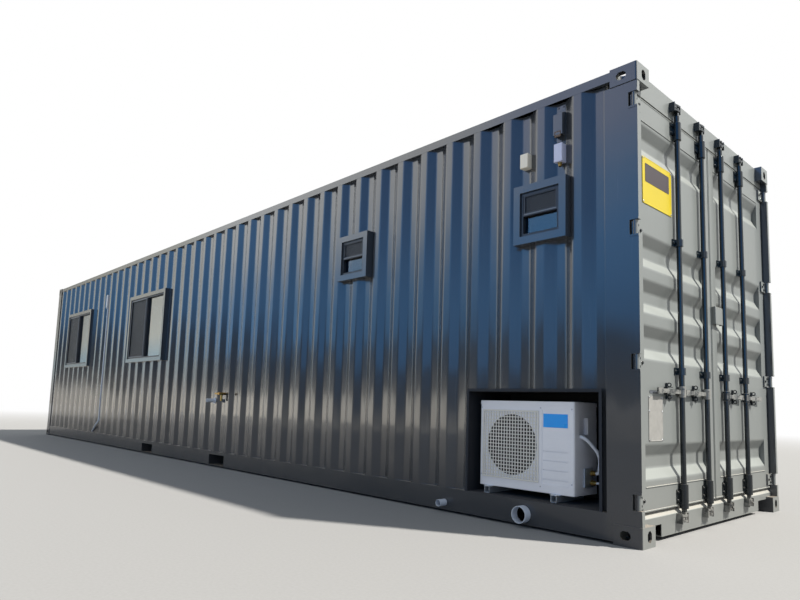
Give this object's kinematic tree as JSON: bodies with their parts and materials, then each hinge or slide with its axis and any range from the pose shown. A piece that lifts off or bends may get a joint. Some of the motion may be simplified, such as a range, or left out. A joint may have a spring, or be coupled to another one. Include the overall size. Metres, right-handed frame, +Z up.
{
  "type": "shipping container cabin",
  "caption": "High-cube steel shipping container made into a cabin, with cargo doors, framed windows in one long side and a recessed air conditioner.",
  "frame": {"origin": "centre of the rectangle of the four lower casting slots, at ground level", "axes": "+X along the length towards the cargo doors, -Y towards the windowed side, +Z up"},
  "size_m": [12.192, 2.531, 2.896],
  "materials": {
    "container_paint": "gloss",
    "gear_paint": "gloss",
    "gasket_rubber": "matte",
    "floor_board": "satin",
    "lining_board": "matte",
    "window_aluminium": "satin",
    "window_glass": "gloss",
    "screen_mesh": "matte",
    "ac_casing": "satin",
    "ac_guard": "satin",
    "fan_plastic": "satin",
    "ac_steel": "satin",
    "grey_plastic": "satin",
    "cream_plastic": "satin",
    "valve_brass": "satin"
  },
  "bodies": {
    "container": {"ac_fan": "fan_plastic", "ac_fan_guard": "ac_guard", "ac_feet": "ac_steel", "ac_housing": "ac_casing", "ac_pipes": "grey_plastic", "ac_recess": "container_paint", "ac_valves": "ac_steel", "back_lining": "lining_board", "back_wall": "container_paint", "bottom_side_rails": "container_paint", "cam_keepers": "gear_paint", "ceiling_lining": "lining_board", "conduit": "container_paint", "corner_castings": "container_paint", "cream_box": "cream_plastic", "cross_members": "container_paint", "door_end_posts": "container_paint", "door_header": "container_paint", "door_sill": "container_paint", "drain_stubs": "grey_plastic", "far_end_lining": "lining_board", "far_end_posts": "container_paint", "far_end_rails": "container_paint", "far_end_wall": "container_paint", "floor": "floor_board", "fork_pockets": "container_paint", "grey_box": "grey_plastic", "hinge_pins": "gear_paint", "insect_screens": "screen_mesh", "recess_bay_wall": "container_paint", "roof_panel": "container_paint", "top_side_rails": "container_paint", "wall_vent": "container_paint", "water_pipe_stub": "cream_plastic", "water_valve": "valve_brass", "window_frames": "window_aluminium", "window_glass": "window_glass", "window_side_lining": "lining_board", "window_surrounds": "container_paint", "window_wall": "container_paint"},
    "left_door": {"left_door_frame": "container_paint", "left_door_panel": "container_paint", "left_door_gasket": "gasket_rubber", "left_hinge_straps": "gear_paint", "left_rod_brackets": "gear_paint"},
    "right_door": {"right_door_frame": "container_paint", "right_door_panel": "container_paint", "right_door_gasket": "gasket_rubber", "right_hinge_straps": "gear_paint", "right_rod_brackets": "gear_paint", "lock_box": "container_paint"},
    "left_outer_lock": {"left_outer_rod": "gear_paint"},
    "left_inner_lock": {"left_inner_rod": "gear_paint"},
    "right_inner_lock": {"right_inner_rod": "gear_paint"},
    "right_outer_lock": {"right_outer_rod": "gear_paint"}
  },
  "joints": [
    {"name": "left_door_hinge", "type": "hinge", "parent": "container", "child": "left_door", "pos_m": [6.066, -1.197, 1.45], "axis": [0, 0, -1], "range_deg": [0, 250]},
    {"name": "right_door_hinge", "type": "hinge", "parent": "container", "child": "right_door", "pos_m": [6.066, 1.197, 1.45], "axis": [0, 0, 1], "range_deg": [0, 250]},
    {"name": "left_outer_rod_turn", "type": "hinge", "parent": "left_door", "child": "left_outer_lock", "pos_m": [6.069, -0.59, 1.45], "axis": [0, 0, -1], "range_deg": [-110, 0]},
    {"name": "left_inner_rod_turn", "type": "hinge", "parent": "left_door", "child": "left_inner_lock", "pos_m": [6.069, -0.18, 1.45], "axis": [0, 0, -1], "range_deg": [-110, 0]},
    {"name": "right_inner_rod_turn", "type": "hinge", "parent": "right_door", "child": "right_inner_lock", "pos_m": [6.069, 0.18, 1.45], "axis": [0, 0, 1], "range_deg": [-110, 0]},
    {"name": "right_outer_rod_turn", "type": "hinge", "parent": "right_door", "child": "right_outer_lock", "pos_m": [6.069, 0.59, 1.45], "axis": [0, 0, 1], "range_deg": [-110, 0]}
  ]
}
